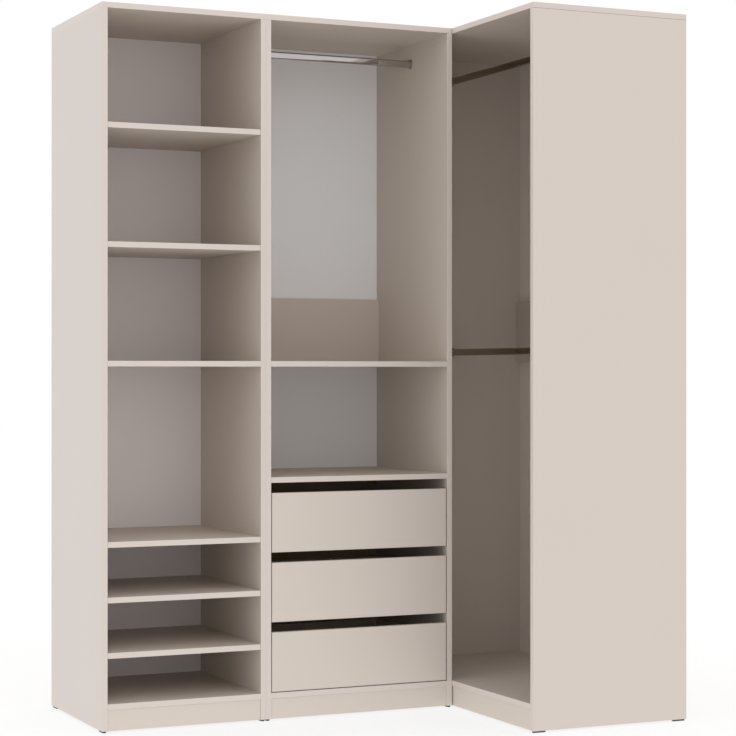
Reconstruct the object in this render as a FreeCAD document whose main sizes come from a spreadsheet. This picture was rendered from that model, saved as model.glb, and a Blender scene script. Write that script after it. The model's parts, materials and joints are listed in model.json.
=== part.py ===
import FreeCAD, Part
import os
import re

import Sketcher
from FreeCAD import Placement, Rotation, Vector

# Corner wardrobe of three board carcasses. X runs along the back wall, Y into that wall and Z up,
# in millimetres, with the origin on the floor under the middle of the footprint.

SIZES = {
    # carcasses
    "overall_height": 2035,
    "left_width": 490,
    "middle_width": 600,
    "corner_length": 1000,
    "module_depth": 505,
    "board": 16,
    "edge_radius": 1,
    "plinth_height": 59,
    "plinth_setback": 3,
    "back_thickness": 3,
    "back_lap": 8,
    "back_play": 0.5,
    # shelves and stretchers
    "first_shoe_space": 126,
    "shoe_space": 138.5,
    "cubby_height": 319,
    "stretcher_height": 200,
    "shelf_play": 0.5,
    "shelf_setback": 2,
    # hanging rails and their sockets
    "rail_height": 22,
    "rail_thickness": 12,
    "rail_radius": 5,
    "rail_wall": 1,
    "middle_rail_drop": 60,
    "corner_rail_drop": 68,
    "lower_rail_rise": 32,
    "rail_setback": 250,
    "socket_rim": 3.5,
    "socket_plate": 3,
    "socket_cup": 8,
    "socket_wall": 1.5,
    "socket_play": 0.15,
    # drawers
    "front_height": 171.5,
    "finger_gap": 29.5,
    "front_bottom_gap": 2,
    "front_side_gap": 3,
    "front_setback": 2,
    "box_board": 12,
    "box_height": 120,
    "box_rise": 15,
    "box_rear_space": 34,
    "box_bottom_thickness": 3,
    "box_bottom_rise": 10,
    "box_groove": 5,
    "box_groove_play": 0.2,
    "box_groove_end_play": 0.5,
    # roller runners
    "runner_gap": 12.5,
    "runner_steel": 1.2,
    "runner_flange": 9,
    "runner_lip": 4,
    "lip_clearance": 0.8,
    "seat_flange": 10,
    "track_clearance": 3,
    "runner_front_gap": 2,
    "roller_radius": 8,
    "roller_width": 5.5,
    "roller_gap": 0.3,
    "roller_side_play": 0.2,
    "roller_inset": 12,
    "axle_radius": 2,
    "axle_play": 0.06,
    "axle_head_radius": 3.2,
    "axle_head": 0.8,
    # foot glides
    "glide_height": 5,
    "glide_length": 40,
    "glide_width": 10,
    "glide_radius": 4,
    "glide_end_gap": 3,
    # cam fittings and shelf pins
    "cam_radius": 7.5,
    "cam_floor": 3.5,
    "cam_reach": 34,
    "cam_slot_width": 2.2,
    "cam_slot_depth": 1.2,
    "bolt_radius": 3,
    "thread_radius": 2.5,
    "thread_length": 11,
    "fitting_play": 0.1,
    "fitting_inset": 60,
    "stretcher_fitting_inset": 40,
    "pin_radius": 2.5,
    "pin_in": 8,
    "pin_out": 10,
    "pin_inset": 40,
    "pin_play": 0.05,
    "pin_sink": 6,
    "pin_notch_play": 0.5,
}

DRAWERS = (1, 2, 3)

# An edge runs along an axis if more than this part of its direction lies on that axis.
ALONG_AXIS = 0.5

# Places and sizes that follow from the driving sizes.
PLACES = {
    "left_x": "-(left_width + middle_width + module_depth) / 2",
    "middle_x": "left_x + left_width",
    "corner_x": "middle_x + middle_width",
    "wall_y": "corner_length / 2",
    "front_y": "wall_y - module_depth",
    "back_face": "module_depth - back_thickness",
    "bottom_z": "glide_height + plinth_height",
    "floor_z": "bottom_z + board",
    "top_z": "overall_height - board",
    "drawer_pitch": "front_height + finger_gap",
    "cover_z": f"floor_z + front_bottom_gap + {len(DRAWERS)} * drawer_pitch",
    "middle_shelf_z": "cover_z + board + cubby_height",
    "level_z": "middle_shelf_z + board",
    "upper_space": "(top_z - level_z - 2 * board) / 3",
    "middle_rail_z": "top_z - middle_rail_drop",
    "upper_rail_z": "top_z - corner_rail_drop",
    "lower_rail_z": "level_z + lower_rail_rise",
    "box_front_y": "front_setback + board",
    "box_depth": "back_face - box_rear_space - box_front_y",
    "box_x": "board + runner_gap",
    "box_width": "middle_width - 2 * box_x",
    "runner_y": "box_front_y + runner_front_gap",
    "runner_length": "box_depth - runner_front_gap",
    "roller_z": "runner_steel + roller_gap + roller_radius",
    "track_z": "roller_z + roller_radius + roller_gap",
    "runner_height": "track_z + 2 * runner_steel + lip_clearance",
    "roller_x": "track_clearance + roller_side_play",
    "front_roller_y": "runner_y + roller_inset",
    "rear_roller_y": "box_front_y + box_depth - roller_inset",
    "cam_depth": "board - cam_floor",
}

doc = FreeCAD.newDocument("corner_wardrobe")


def fill_sheet(name, cells, as_text):
    """Write one sheet of aliased cells, one row for each size."""
    sheet = doc.addObject("Spreadsheet::Sheet", name)
    for row, alias in enumerate(cells, start=1):
        sheet.set(f"A{row}", alias)
        sheet.setAlias(f"B{row}", alias)
    for row, content in enumerate(cells.values(), start=1):
        sheet.set(f"B{row}", as_text(content))
    return sheet


def bound(text):
    """Turn an expression of plain size names into one that names the sheets."""
    def sheet_name(match):
        alias = match.group(0)
        return f"Sizes.{alias}" if alias in SIZES else f"Places.{alias}"
    return re.sub(r"[a-z][a-z_]*", sheet_name, str(text))


def formula(text):
    """A formula cell of the second sheet, which may name cells of both."""
    def cell_name(match):
        alias = match.group(0)
        return f"Sizes.{alias}" if alias in SIZES else alias
    return "=" + re.sub(r"[a-z][a-z_]*", cell_name, text)


sizes = fill_sheet("Sizes", SIZES, str)
doc.recompute()
places = fill_sheet("Places", PLACES, formula)
doc.recompute()


def value(name):
    """The number behind a size or a place."""
    return float(sizes.get(name) if name in SIZES else places.get(name))


# Each module has its own frame: x to the right and y to the rear, seen from its open front.
# The corner module is turned by a quarter, so its x runs away from the back wall.

class Module:
    def __init__(self, x, y, width, turned=False):
        self.x = x
        self.y = y
        self.width = width
        self.turned = turned

    def base(self, x, y, z):
        """World expressions of a point given by module expressions."""
        if self.turned:
            return f"{self.x} + ({y})", f"{self.y} - ({x})", z
        return f"{self.x} + ({x})", f"{self.y} + ({y})", z

    @property
    def rotation(self):
        return Rotation(Vector(0, 0, 1), -90 if self.turned else 0)

    @property
    def placement(self):
        return Placement(Vector(value(self.x), value(self.y), 0), self.rotation)


LEFT = Module("left_x", "front_y", "left_width")
MIDDLE = Module("middle_x", "front_y", "middle_width")
CORNER = Module("corner_x", "wall_y", "corner_length", turned=True)

nodes = {}
bores = {}


def keep(name, item):
    """Register a finished sub-part under its node name."""
    item.Label = name
    nodes[name] = item
    return item


def block(name, module, at, size):
    """A rectangular block bound to the sheets, in a module's frame."""
    box = doc.addObject("Part::Box", name)
    for field, text in zip(("Length", "Width", "Height"), size):
        box.setExpression(field, bound(text))
    box.Placement = Placement(Vector(), module.rotation)
    for axis, text in zip("xyz", module.base(*at)):
        box.setExpression(f"Placement.Base.{axis}", bound(text))
    return box


def runs_along(edge, axes):
    """Whether a straight edge runs along one of the given axes."""
    run = edge.tangentAt(edge.FirstParameter)
    return any(abs(getattr(run, axis)) > ALONG_AXIS for axis in axes)


def rounded(name, blank, along):
    """Round the front edges of a board that run along the given axes of its own frame."""
    blank.recompute()
    shape = blank.Shape.copy()
    shape.Placement = Placement()
    radius = value("edge_radius")
    edges = []
    for index, edge in enumerate(shape.Edges, start=1):
        at_front = edge.CenterOfMass.y < radius / 2
        if at_front and runs_along(edge, along):
            edges.append((index, radius, radius))
    fillet = doc.addObject("Part::Fillet", f"{name}_rounded")
    fillet.Base = blank
    fillet.Edges = edges
    return fillet


def board(name, module, at, size, grooves=(), edged=""):
    """A board with its rounded front edges, grooves and drilled holes, kept as a node."""
    blank = block(f"{name}_blank", module, at, size)
    if edged:
        blank = rounded(name, blank, edged)
    tools = [block(f"{name}_groove_{number}", module, *groove)
             for number, groove in enumerate(grooves, start=1)]
    if name in bores:
        drill = doc.addObject("Part::Feature", f"{name}_bores")
        drill.Shape = Part.makeCompound(bores[name])
        tools.append(drill)
    for number, tool in enumerate(tools, start=1):
        cut = doc.addObject("Part::Cut", f"{name}_cut_{number}")
        cut.Base = blank
        cut.Tool = tool
        blank = cut
    return keep(name, blank)


def group(name, shapes):
    """Separate like solids that share one node."""
    feature = doc.addObject("Part::Feature", name)
    feature.Shape = Part.makeCompound(shapes)
    return keep(name, feature)


# Sketched templates

def outline(body, name, plane, points):
    """A closed polygon whose corners are bound to the sheets."""
    sketch = body.newObject("Sketcher::SketchObject", name)
    support = [item for item in body.Origin.OriginFeatures if item.Role == plane]
    sketch.AttachmentSupport = [(support[0], "")]
    sketch.MapMode = "FlatFace"
    corners = [(number_of(across), number_of(up)) for across, up in points]
    for index, corner in enumerate(corners):
        following = corners[(index + 1) % len(corners)]
        sketch.addGeometry(Part.LineSegment(Vector(*corner, 0), Vector(*following, 0)), False)
    for index in range(len(points)):
        sketch.addConstraint(Sketcher.Constraint("Coincident", index, 2, (index + 1) % len(points), 1))
    for index, (texts, corner) in enumerate(zip(points, corners)):
        for kind, text, distance in zip(("DistanceX", "DistanceY"), texts, corner):
            number = sketch.addConstraint(Sketcher.Constraint(kind, -1, 1, index, 1, distance))
            if text != "0":
                sketch.setExpression(f"Constraints[{number}]", bound(text))
    return sketch


probe = doc.addObject("Part::Box", "probe")


def number_of(text):
    """The number that an expression of size names gives."""
    if text == "0":
        return 0.0
    probe.setExpression("Placement.Base.x", bound(text))
    doc.recompute([probe])
    return probe.Placement.Base.x


def bar(name, width, height, length, radius, upright=False):
    """A bar along +Y, or +Z if upright, its section centred on the axis, with rounded long edges."""
    body = doc.addObject("PartDesign::Body", name)
    half_width, half_height = f"({width}) / 2", f"({height}) / 2"
    points = [(f"-{half_width}", f"-{half_height}"), (half_width, f"-{half_height}"),
              (half_width, half_height), (f"-{half_width}", half_height)]
    pad = body.newObject("PartDesign::Pad", f"{name}_pad")
    pad.Profile = outline(body, f"{name}_section", "XY_Plane" if upright else "XZ_Plane", points)
    pad.Reversed = not upright
    pad.setExpression("Length", bound(length))
    doc.recompute()
    long_edges = [f"Edge{index}" for index, edge in enumerate(pad.Shape.Edges, start=1)
                  if runs_along(edge, "z" if upright else "y")]
    fillet = body.newObject("PartDesign::Fillet", f"{name}_rounding")
    fillet.Base = (pad, long_edges)
    fillet.setExpression("Radius", bound(radius))
    return body


def less(name, base, tool):
    cut = doc.addObject("Part::Cut", name)
    cut.Base = base
    cut.Tool = tool
    return cut


def joined(name, items):
    fuse = doc.addObject("Part::MultiFuse", name)
    fuse.Shapes = items
    return fuse


def rod(name, radius, length, at, axis):
    """A round rod bound to the sheets, along +X, +Y or +Z."""
    cylinder = doc.addObject("Part::Cylinder", name)
    cylinder.setExpression("Radius", bound(radius))
    cylinder.setExpression("Height", bound(length))
    cylinder.Placement = Placement(Vector(), Rotation(Vector(0, 0, 1), axis))
    for letter, text in zip("xyz", at):
        if text != "0":
            cylinder.setExpression(f"Placement.Base.{letter}", bound(text))
    return cylinder


def copies(template, placings):
    """Copies of a template's solid, one for each placement."""
    shapes = []
    for placing in placings:
        shape = template.Shape.copy()
        shape.Placement = placing.multiply(shape.Placement)
        shapes.append(shape)
    return shapes


# Cam fittings: a bolt in one board runs into a cam in the end of another.

def cam_template():
    """A cam with its visible face at z = 0 and its mouth towards +X."""
    blank = rod("cam_blank", "cam_radius - fitting_play", "cam_depth - fitting_play",
                ("0", "0", "fitting_play - cam_depth"), Vector(0, 0, 1))
    mouth = rod("cam_mouth", "bolt_radius + fitting_play", "cam_radius",
                ("0", "0", "-board / 2"), Vector(1, 0, 0))
    cam = less("cam_with_mouth", blank, mouth)
    flat = Module("0", "0", "0")
    for number, (across, along) in enumerate((("cam_slot_width", "cam_radius"),
                                              ("cam_radius", "cam_slot_width")), start=1):
        slot = block(f"cam_slot_{number}", flat, (f"-{across} / 2", f"-{along} / 2", "-cam_slot_depth"),
                     (across, along, "cam_slot_depth"))
        cam = less(f"cam_with_slot_{number}", cam, slot)
    return cam


def bolt_template():
    """A bolt along +X from the joint, with its thread on the other side of the joint."""
    shank = rod("bolt_shank", "bolt_radius", "cam_reach - bolt_radius", ("0", "0", "0"), Vector(1, 0, 0))
    thread = rod("bolt_thread", "thread_radius", "thread_length", ("-thread_length", "0", "0"),
                 Vector(1, 0, 0))
    return joined("bolt", [shank, thread])


def bore(name, module, start, direction, radius, depth):
    """Note a drilled hole in a board, in a module's frame."""
    hole = Part.makeCylinder(radius, depth, start, direction)
    hole.Placement = module.placement.multiply(hole.Placement)
    bores.setdefault(name, []).append(hole)


def fitting(module, host, mate, joint, inward, face):
    """One cam in the host board and its bolt in the mate, and the holes that they need."""
    play = value("fitting_play")
    reach = value("cam_reach")
    depth = value("cam_depth")
    centre = joint + inward * reach
    skin = centre + face * (value("board") / 2)
    bore(host, module, skin, face * -1, value("cam_radius"), depth)
    bore(host, module, joint, inward, value("bolt_radius") + play, reach)
    bore(mate, module, joint, inward * -1, value("thread_radius") + play, value("thread_length") + play)
    cam_turn = Rotation(inward * -1, face.cross(inward * -1), face, "ZXY")
    bolt_turn = Rotation(inward, face.cross(inward), face, "ZXY")
    cam_places.append(module.placement.multiply(Placement(skin, cam_turn)))
    bolt_places.append(module.placement.multiply(Placement(joint, bolt_turn)))


cam_places = []
bolt_places = []
pin_places = []

X_AXIS, Y_AXIS, Z_AXIS = Vector(1, 0, 0), Vector(0, 1, 0), Vector(0, 0, 1)


def board_ends(module, sides):
    """The two inner faces of a module: place, direction into the opening and side board."""
    first, second = sides
    return ((value("board"), X_AXIS, first),
            (value(module.width) - value("board"), X_AXIS * -1, second))


def fit_shelf(name, module, sides, underside):
    """Two fittings at each end of a fixed level board, with the cams underneath."""
    middle = value(underside) + value("board") / 2
    for x, inward, side in board_ends(module, sides):
        for y in (value("fitting_inset"), value("back_face") - value("fitting_inset")):
            fitting(module, name, side, Vector(x, y, middle), inward, Z_AXIS * -1)


def fit_upright(name, module, sides, middle_y, heights):
    """Fittings at both ends of a plinth or stretcher, with the cams at the rear."""
    for x, inward, side in board_ends(module, sides):
        for z in heights:
            fitting(module, name, side, Vector(x, middle_y, z), inward, Y_AXIS)


def fit_top(name, module, sides):
    """Two fittings in the head of each side, with the cams on its inner face."""
    for x, inward, side in board_ends(module, sides):
        middle = x - inward.x * value("board") / 2
        for y in (value("fitting_inset"), value("back_face") - value("fitting_inset")):
            fitting(module, side, name, Vector(middle, y, value("top_z")), Z_AXIS * -1, inward)


def pin_shelf(module, sides, underside):
    """Four pins that a loose shelf rests on, sunk into its underside."""
    z = underside + value("pin_sink") - value("pin_radius")
    for x, inward, side in board_ends(module, sides):
        for y in (value("pin_inset"), value("back_face") - value("pin_inset")):
            start = Vector(x, y, z)
            bore(side, module, start, inward * -1, value("pin_radius") + value("pin_play"), value("pin_in"))
            turn = Rotation(inward, Z_AXIS.cross(inward), Z_AXIS, "ZXY")
            pin_places.append(module.placement.multiply(Placement(start, turn)))


# Carcass boards

def carcass(prefix, module, sides):
    """The two sides, top, bottom, plinth and back of one module."""
    first, second = sides
    width = module.width
    inner = f"{width} - 2 * board"
    side_size = ("board", "module_depth", "top_z - glide_height")
    rebate_size = ("back_lap", "back_thickness", "top_z - glide_height")
    board(first, module, ("0", "0", "glide_height"), side_size,
          [(("board - back_lap", "back_face", "glide_height"), rebate_size)], edged="z")
    board(second, module, (f"{width} - board", "0", "glide_height"), side_size,
          [((f"{width} - board", "back_face", "glide_height"), rebate_size)], edged="z")
    board(f"{prefix}_top", module, ("0", "0", "top_z"), (width, "module_depth", "board"),
          [(("board - back_lap", "back_face", "top_z"),
            (f"{inner} + 2 * back_lap", "back_thickness", "back_lap"))], edged="x")
    board(f"{prefix}_bottom", module, ("board", "0", "bottom_z"), (inner, "back_face", "board"), edged="x")
    board(f"{prefix}_plinth", module, ("board", "plinth_setback", "glide_height"),
          (inner, "board", "plinth_height"))
    reach = "back_lap - back_play"
    board(f"{prefix}_back", module, (f"board - ({reach})", "back_face", "bottom_z"),
          (f"{inner} + 2 * ({reach})", "back_thickness", f"top_z + {reach} - bottom_z"))


def fit_carcass(prefix, module, sides):
    """The fittings of one module's top, bottom and plinth."""
    fit_top(f"{prefix}_top", module, sides)
    fit_shelf(f"{prefix}_bottom", module, sides, "bottom_z")
    fit_upright(f"{prefix}_plinth", module, sides, value("plinth_setback") + value("board") / 2,
                [value("glide_height") + value("plinth_height") / 2])


def fixed_shelf(name, module, underside):
    board(name, module, ("board", "0", underside), (f"{module.width} - 2 * board", "back_face", "board"),
          edged="x")


def pin_notches(module, underside):
    """The notches in a loose shelf's underside that hide its pins."""
    reach = "pin_out - shelf_play + pin_notch_play"
    width = "2 * (pin_radius + pin_notch_play)"
    end_gap = "(board + shelf_play)"
    return [((x, f"{y} - ({width}) / 2", underside), (reach, width, "pin_sink"))
            for x in (end_gap, f"{module.width} - {end_gap} - ({reach})")
            for y in ("pin_inset", "back_face - pin_inset")]


def loose_shelf(name, module, underside):
    board(name, module, ("board + shelf_play", "shelf_setback", underside),
          (f"{module.width} - 2 * (board + shelf_play)", "back_face - shelf_setback - shelf_play", "board"),
          pin_notches(module, underside), edged="x")


def stretcher(name, module):
    board(name, module, ("board", "back_face - board", "level_z"),
          (f"{module.width} - 2 * board", "board", "stretcher_height"), edged="x")


def fit_stretcher(name, module, sides):
    inset = value("stretcher_fitting_inset")
    heights = [value("level_z") + inset, value("level_z") + value("stretcher_height") - inset]
    fit_upright(name, module, sides, value("back_face") - value("board") / 2, heights)


LEFT_SIDES = ("left_outer_side", "left_inner_side")
MIDDLE_SIDES = ("middle_left_side", "middle_right_side")
CORNER_SIDES = ("corner_wall_side", "corner_end_side")

LOOSE_SHELVES = {
    "left_shelf_1": "level_z + 2 * upper_space + board",
    "left_shelf_2": "level_z + upper_space",
    "left_shelf_4": "floor_z + first_shoe_space + 2 * (shoe_space + board)",
    "left_shelf_5": "floor_z + first_shoe_space + shoe_space + board",
    "left_shelf_6": "floor_z + first_shoe_space",
}
FIXED_SHELVES = {
    "left_shelf_3": (LEFT, LEFT_SIDES, "middle_shelf_z"),
    "middle_shelf": (MIDDLE, MIDDLE_SIDES, "middle_shelf_z"),
    "drawer_cover_shelf": (MIDDLE, MIDDLE_SIDES, "cover_z"),
}
CARCASSES = {
    "left": (LEFT, LEFT_SIDES),
    "middle": (MIDDLE, MIDDLE_SIDES),
    "corner": (CORNER, CORNER_SIDES),
}
STRETCHERS = {
    "middle_stretcher": (MIDDLE, MIDDLE_SIDES),
    "corner_stretcher": (CORNER, CORNER_SIDES),
}

for prefix, (module, sides) in CARCASSES.items():
    fit_carcass(prefix, module, sides)
for name, (module, sides, underside) in FIXED_SHELVES.items():
    fit_shelf(name, module, sides, underside)
for name, (module, sides) in STRETCHERS.items():
    fit_stretcher(name, module, sides)
for underside in LOOSE_SHELVES.values():
    pin_shelf(LEFT, LEFT_SIDES, number_of(underside))

for prefix, (module, sides) in CARCASSES.items():
    carcass(prefix, module, sides)
for name, (module, sides, underside) in FIXED_SHELVES.items():
    fixed_shelf(name, module, underside)
for name, underside in LOOSE_SHELVES.items():
    loose_shelf(name, LEFT, underside)
for name, (module, sides) in STRETCHERS.items():
    stretcher(name, module)


# Foot glides under the front and rear of every side board

def glide_places():
    half = value("board") / 2
    inset = value("glide_end_gap") + value("glide_length") / 2
    for module, _ in CARCASSES.values():
        for x in (half, value(module.width) - half):
            for y in (inset, value("module_depth") - inset):
                yield module.placement.multiply(Placement(Vector(x, y, 0), Rotation()))


# Hanging rails in their sockets

def rail(name, module, height):
    """A flattened tube between the sockets of one module."""
    length = f"{module.width} - 2 * (board + socket_plate)"
    tube = bar(f"{name}_tube", "rail_thickness", "rail_height", length, "rail_radius")
    core = bar(f"{name}_core", "rail_thickness - 2 * rail_wall", "rail_height - 2 * rail_wall", length,
               "rail_radius - rail_wall")
    turn = module.rotation.multiply(Rotation(Vector(0, 0, 1), -90))
    for part in (tube, core):
        part.Placement = Placement(Vector(), turn)
        for axis, text in zip("xyz", module.base("board + socket_plate", "rail_setback", height)):
            part.setExpression(f"Placement.Base.{axis}", bound(text))
    keep(name, less(f"{name}_hollow", tube, core))


def socket_template():
    """A rail socket whose plate starts at y = 0, with its cup towards +Y."""
    play = "2 * socket_play"
    wall = "2 * socket_wall"
    mouth = bar("socket_mouth", f"rail_thickness + {play}", f"rail_height + {play}", "socket_cup",
                "rail_radius + socket_play")
    cup = bar("socket_cup_wall", f"rail_thickness + {play} + {wall}", f"rail_height + {play} + {wall}",
              "socket_cup", "rail_radius + socket_play + socket_wall")
    plate = bar("socket_back", "rail_thickness + 2 * socket_rim", "rail_height + 2 * socket_rim",
                "socket_plate", "rail_radius + socket_rim")
    for part in (mouth, cup):
        part.setExpression("Placement.Base.y", bound("socket_plate"))
    return less("socket", joined("socket_solid", [plate, cup]), mouth)


RAILS = {
    "middle_rail": (MIDDLE, "middle_rail_z"),
    "corner_upper_rail": (CORNER, "upper_rail_z"),
    "corner_lower_rail": (CORNER, "lower_rail_z"),
}


def socket_places():
    for module, height in RAILS.values():
        for x, turn in ((value("board"), -90), (value(module.width) - value("board"), 90)):
            local = Placement(Vector(x, value("rail_setback"), value(height)), Rotation(Z_AXIS, turn))
            yield module.placement.multiply(local)


for name, (module, height) in RAILS.items():
    rail(name, module, height)


# Drawers, numbered from the top

def drawer_front_z(number):
    return f"floor_z + front_bottom_gap + {len(DRAWERS) - number} * drawer_pitch"


def drawer(number):
    """The five boards of one drawer: front, two sides, back and thin bottom."""
    name = f"drawer_{number}"
    front_z = drawer_front_z(number)
    side_z = f"{front_z} + box_rise"
    bottom_z = f"{side_z} + box_bottom_rise"
    groove_height = "box_bottom_thickness + 2 * box_groove_play"
    groove_z = f"{bottom_z} - box_groove_play"
    bottom_x = "box_x + box_board - box_groove"
    bottom_width = "box_width - 2 * (box_board - box_groove)"
    board(f"{name}_front", MIDDLE, ("board + front_side_gap", "front_setback", front_z),
          ("middle_width - 2 * (board + front_side_gap)", "board", "front_height"),
          [((bottom_x, "box_front_y - box_groove", groove_z),
            (bottom_width, "box_groove", groove_height))], edged="xz")
    side_size = ("box_board", "box_depth", "box_height")
    groove_size = ("box_groove", "box_depth", groove_height)
    board(f"{name}_left_side", MIDDLE, ("box_x", "box_front_y", side_z), side_size,
          [((bottom_x, "box_front_y", groove_z), groove_size)])
    right_x = "box_x + box_width - box_board"
    board(f"{name}_right_side", MIDDLE, (right_x, "box_front_y", side_z), side_size,
          [((right_x, "box_front_y", groove_z), groove_size)])
    back_z = f"{bottom_z} + box_bottom_thickness"
    board(f"{name}_back", MIDDLE, ("box_x + box_board", "box_front_y + box_depth - box_board", back_z),
          ("box_width - 2 * box_board", "box_board",
           "box_height - box_bottom_rise - box_bottom_thickness"))
    board(f"{name}_bottom", MIDDLE,
          (f"{bottom_x} + box_groove_end_play", "box_front_y - box_groove + box_groove_end_play", bottom_z),
          (f"{bottom_width} - 2 * box_groove_end_play", "box_depth + box_groove - box_groove_end_play",
           "box_bottom_thickness"))


for number in DRAWERS:
    drawer(number)


# Roller runners. A left-hand template has x = 0 on the carcass side, y from the module's front
# and z from the underside of the runner. Its mirror image serves the right-hand side.

def axle(name, y, shoulder_start, pin_start, head_start, shoulder):
    """A stepped axle along X: a shoulder on the steel, a pin for the roller and a head."""
    return [
        rod(f"{name}_shoulder", "axle_head_radius", shoulder, (shoulder_start, y, "roller_z"), X_AXIS),
        rod(f"{name}_pin", "axle_radius", "roller_width + 2 * roller_side_play", (pin_start, y, "roller_z"),
            X_AXIS),
        rod(f"{name}_head", "axle_head_radius", "axle_head", (head_start, y, "roller_z"), X_AXIS),
    ]


def steel_section(name, points, start, length):
    """A bent steel profile along +Y."""
    body = doc.addObject("PartDesign::Body", name)
    pad = body.newObject("PartDesign::Pad", f"{name}_pad")
    pad.Profile = outline(body, f"{name}_section", "XZ_Plane", points)
    pad.Reversed = True
    pad.setExpression("Length", bound(length))
    body.setExpression("Placement.Base.y", bound(start))
    return body


def carcass_profile_template():
    """The channel on the carcass side, with the axle of its front roller."""
    channel = steel_section("carcass_channel", [
        ("0", "0"), ("runner_flange", "0"), ("runner_flange", "runner_steel"),
        ("runner_steel", "runner_steel"), ("runner_steel", "runner_height - runner_steel"),
        ("runner_lip", "runner_height - runner_steel"), ("runner_lip", "runner_height"),
        ("0", "runner_height")], "runner_y", "runner_length")
    pin_start = "roller_x - roller_side_play"
    stud = axle("front_axle", "front_roller_y", "runner_steel", pin_start,
                "roller_x + roller_width + roller_side_play", f"{pin_start} - runner_steel")
    return joined("carcass_profile", [channel] + stud)


def drawer_profile_template():
    """The profile under the drawer side, with its track and the axle of its rear roller."""
    web = "runner_gap - runner_steel"
    track_top = "track_z + runner_steel"
    angle = steel_section("drawer_angle", [
        (web, "0"), ("runner_gap + seat_flange", "0"), ("runner_gap + seat_flange", "runner_steel"),
        ("runner_gap", "runner_steel"), ("runner_gap", track_top), ("track_clearance", track_top),
        ("track_clearance", "track_z"), (web, "track_z")], "box_front_y", "box_depth")
    shoulder_start = "roller_x + roller_width + roller_side_play"
    pin_start = "roller_x - roller_side_play"
    stud = axle("rear_axle", "rear_roller_y", shoulder_start, pin_start, f"{pin_start} - axle_head",
                f"{web} - ({shoulder_start})")
    return joined("drawer_profile", [angle] + stud)


def roller_template():
    """A roller along +X from x = 0, bored for its axle, with its rim at the running radius."""
    tyre = rod("roller_tyre", "roller_radius", "roller_width", ("0", "0", "0"), X_AXIS)
    hole = rod("roller_bore", "axle_radius + axle_play", "roller_width", ("0", "0", "0"), X_AXIS)
    return less("roller", tyre, hole)


def both_sides(shape, lift):
    """A left-hand shape lifted to its drawer, and its mirror image, in the wardrobe's frame."""
    left = shape.copy()
    left.translate(Vector(value("board"), 0, lift))
    right = left.mirror(Vector(value("middle_width") / 2, 0, 0), X_AXIS)
    for side in (left, right):
        side.Placement = MIDDLE.placement.multiply(side.Placement)
    return [left, right]


def roller_at(template, y):
    shape = template.Shape.copy()
    shape.translate(Vector(value("roller_x"), value(y), value("roller_z")))
    return shape


templates = {
    "glide": bar("glide", "glide_width", "glide_length", "glide_height", "glide_radius", upright=True),
    "socket": socket_template(),
    "cam": cam_template(),
    "bolt": bolt_template(),
    "pin": rod("shelf_pin", "pin_radius", "pin_in + pin_out", ("-pin_in", "0", "0"), X_AXIS),
    "carcass_profile": carcass_profile_template(),
    "drawer_profile": drawer_profile_template(),
    "roller": roller_template(),
}
doc.recompute()

group("foot_glides", copies(templates["glide"], glide_places()))
group("rail_sockets", copies(templates["socket"], socket_places()))
group("cam_fittings", copies(templates["cam"], cam_places) + copies(templates["bolt"], bolt_places))
group("shelf_pins", copies(templates["pin"], pin_places))

carcass_profiles = []
for number in DRAWERS:
    lift = number_of(f"{drawer_front_z(number)} + box_rise - runner_steel")
    carcass_profiles += both_sides(templates["carcass_profile"].Shape, lift)
    group(f"drawer_{number}_runner_profiles", both_sides(templates["drawer_profile"].Shape, lift))
    for end in ("front", "rear"):
        roller = roller_at(templates["roller"], f"{end}_roller_y")
        group(f"drawer_{number}_{end}_rollers", both_sides(roller, lift))
group("runner_carcass_profiles", carcass_profiles)

doc.removeObject(probe.Name)
doc.recompute()

# Nothing is written unless every object is sound.
for item in doc.Objects:
    if "Invalid" in item.State or "Error" in item.State:
        raise RuntimeError(f"{item.Label} failed: {item.State}")
for name, item in nodes.items():
    if item.Shape.isNull() or not item.Shape.isValid():
        raise RuntimeError(f"{name} has no valid shape")

os.makedirs("parts", exist_ok=True)
for name, item in nodes.items():
    item.Shape.exportStep(f"parts/{name}.step")
print(len(nodes), "nodes,", sum(len(item.Shape.Solids) for item in nodes.values()), "solids")
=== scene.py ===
"""Corner wardrobe: its finishes, its small fittings and a studio for its picture.

The frame holds every board, rail, drawer and runner at its real size and place. This file
gives each of them a finish, adds the small fittings that are only looked at (cover caps,
screw heads and the nails of the back panels) and sets up light, floor and camera.
"""

import json
import math
from functools import reduce

import bmesh
import bpy
from bpy.props import FloatProperty, FloatVectorProperty, IntProperty, PointerProperty
from bpy.types import Operator, Panel, PropertyGroup
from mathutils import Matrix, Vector


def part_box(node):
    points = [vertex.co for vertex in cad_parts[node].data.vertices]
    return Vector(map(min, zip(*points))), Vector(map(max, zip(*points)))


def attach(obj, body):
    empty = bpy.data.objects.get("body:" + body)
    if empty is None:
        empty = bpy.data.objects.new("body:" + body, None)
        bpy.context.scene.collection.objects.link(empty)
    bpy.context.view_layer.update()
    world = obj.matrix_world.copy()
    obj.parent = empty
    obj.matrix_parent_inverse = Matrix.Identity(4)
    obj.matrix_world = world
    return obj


bl_info = {
    "name": "Corner Wardrobe",
    "version": (1, 0, 0),
    "blender": (4, 5, 0),
    "location": "3D View > Sidebar > Wardrobe",
    "description": "Finishes, small fittings and studio of a corner wardrobe",
    "category": "Object",
}

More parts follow.
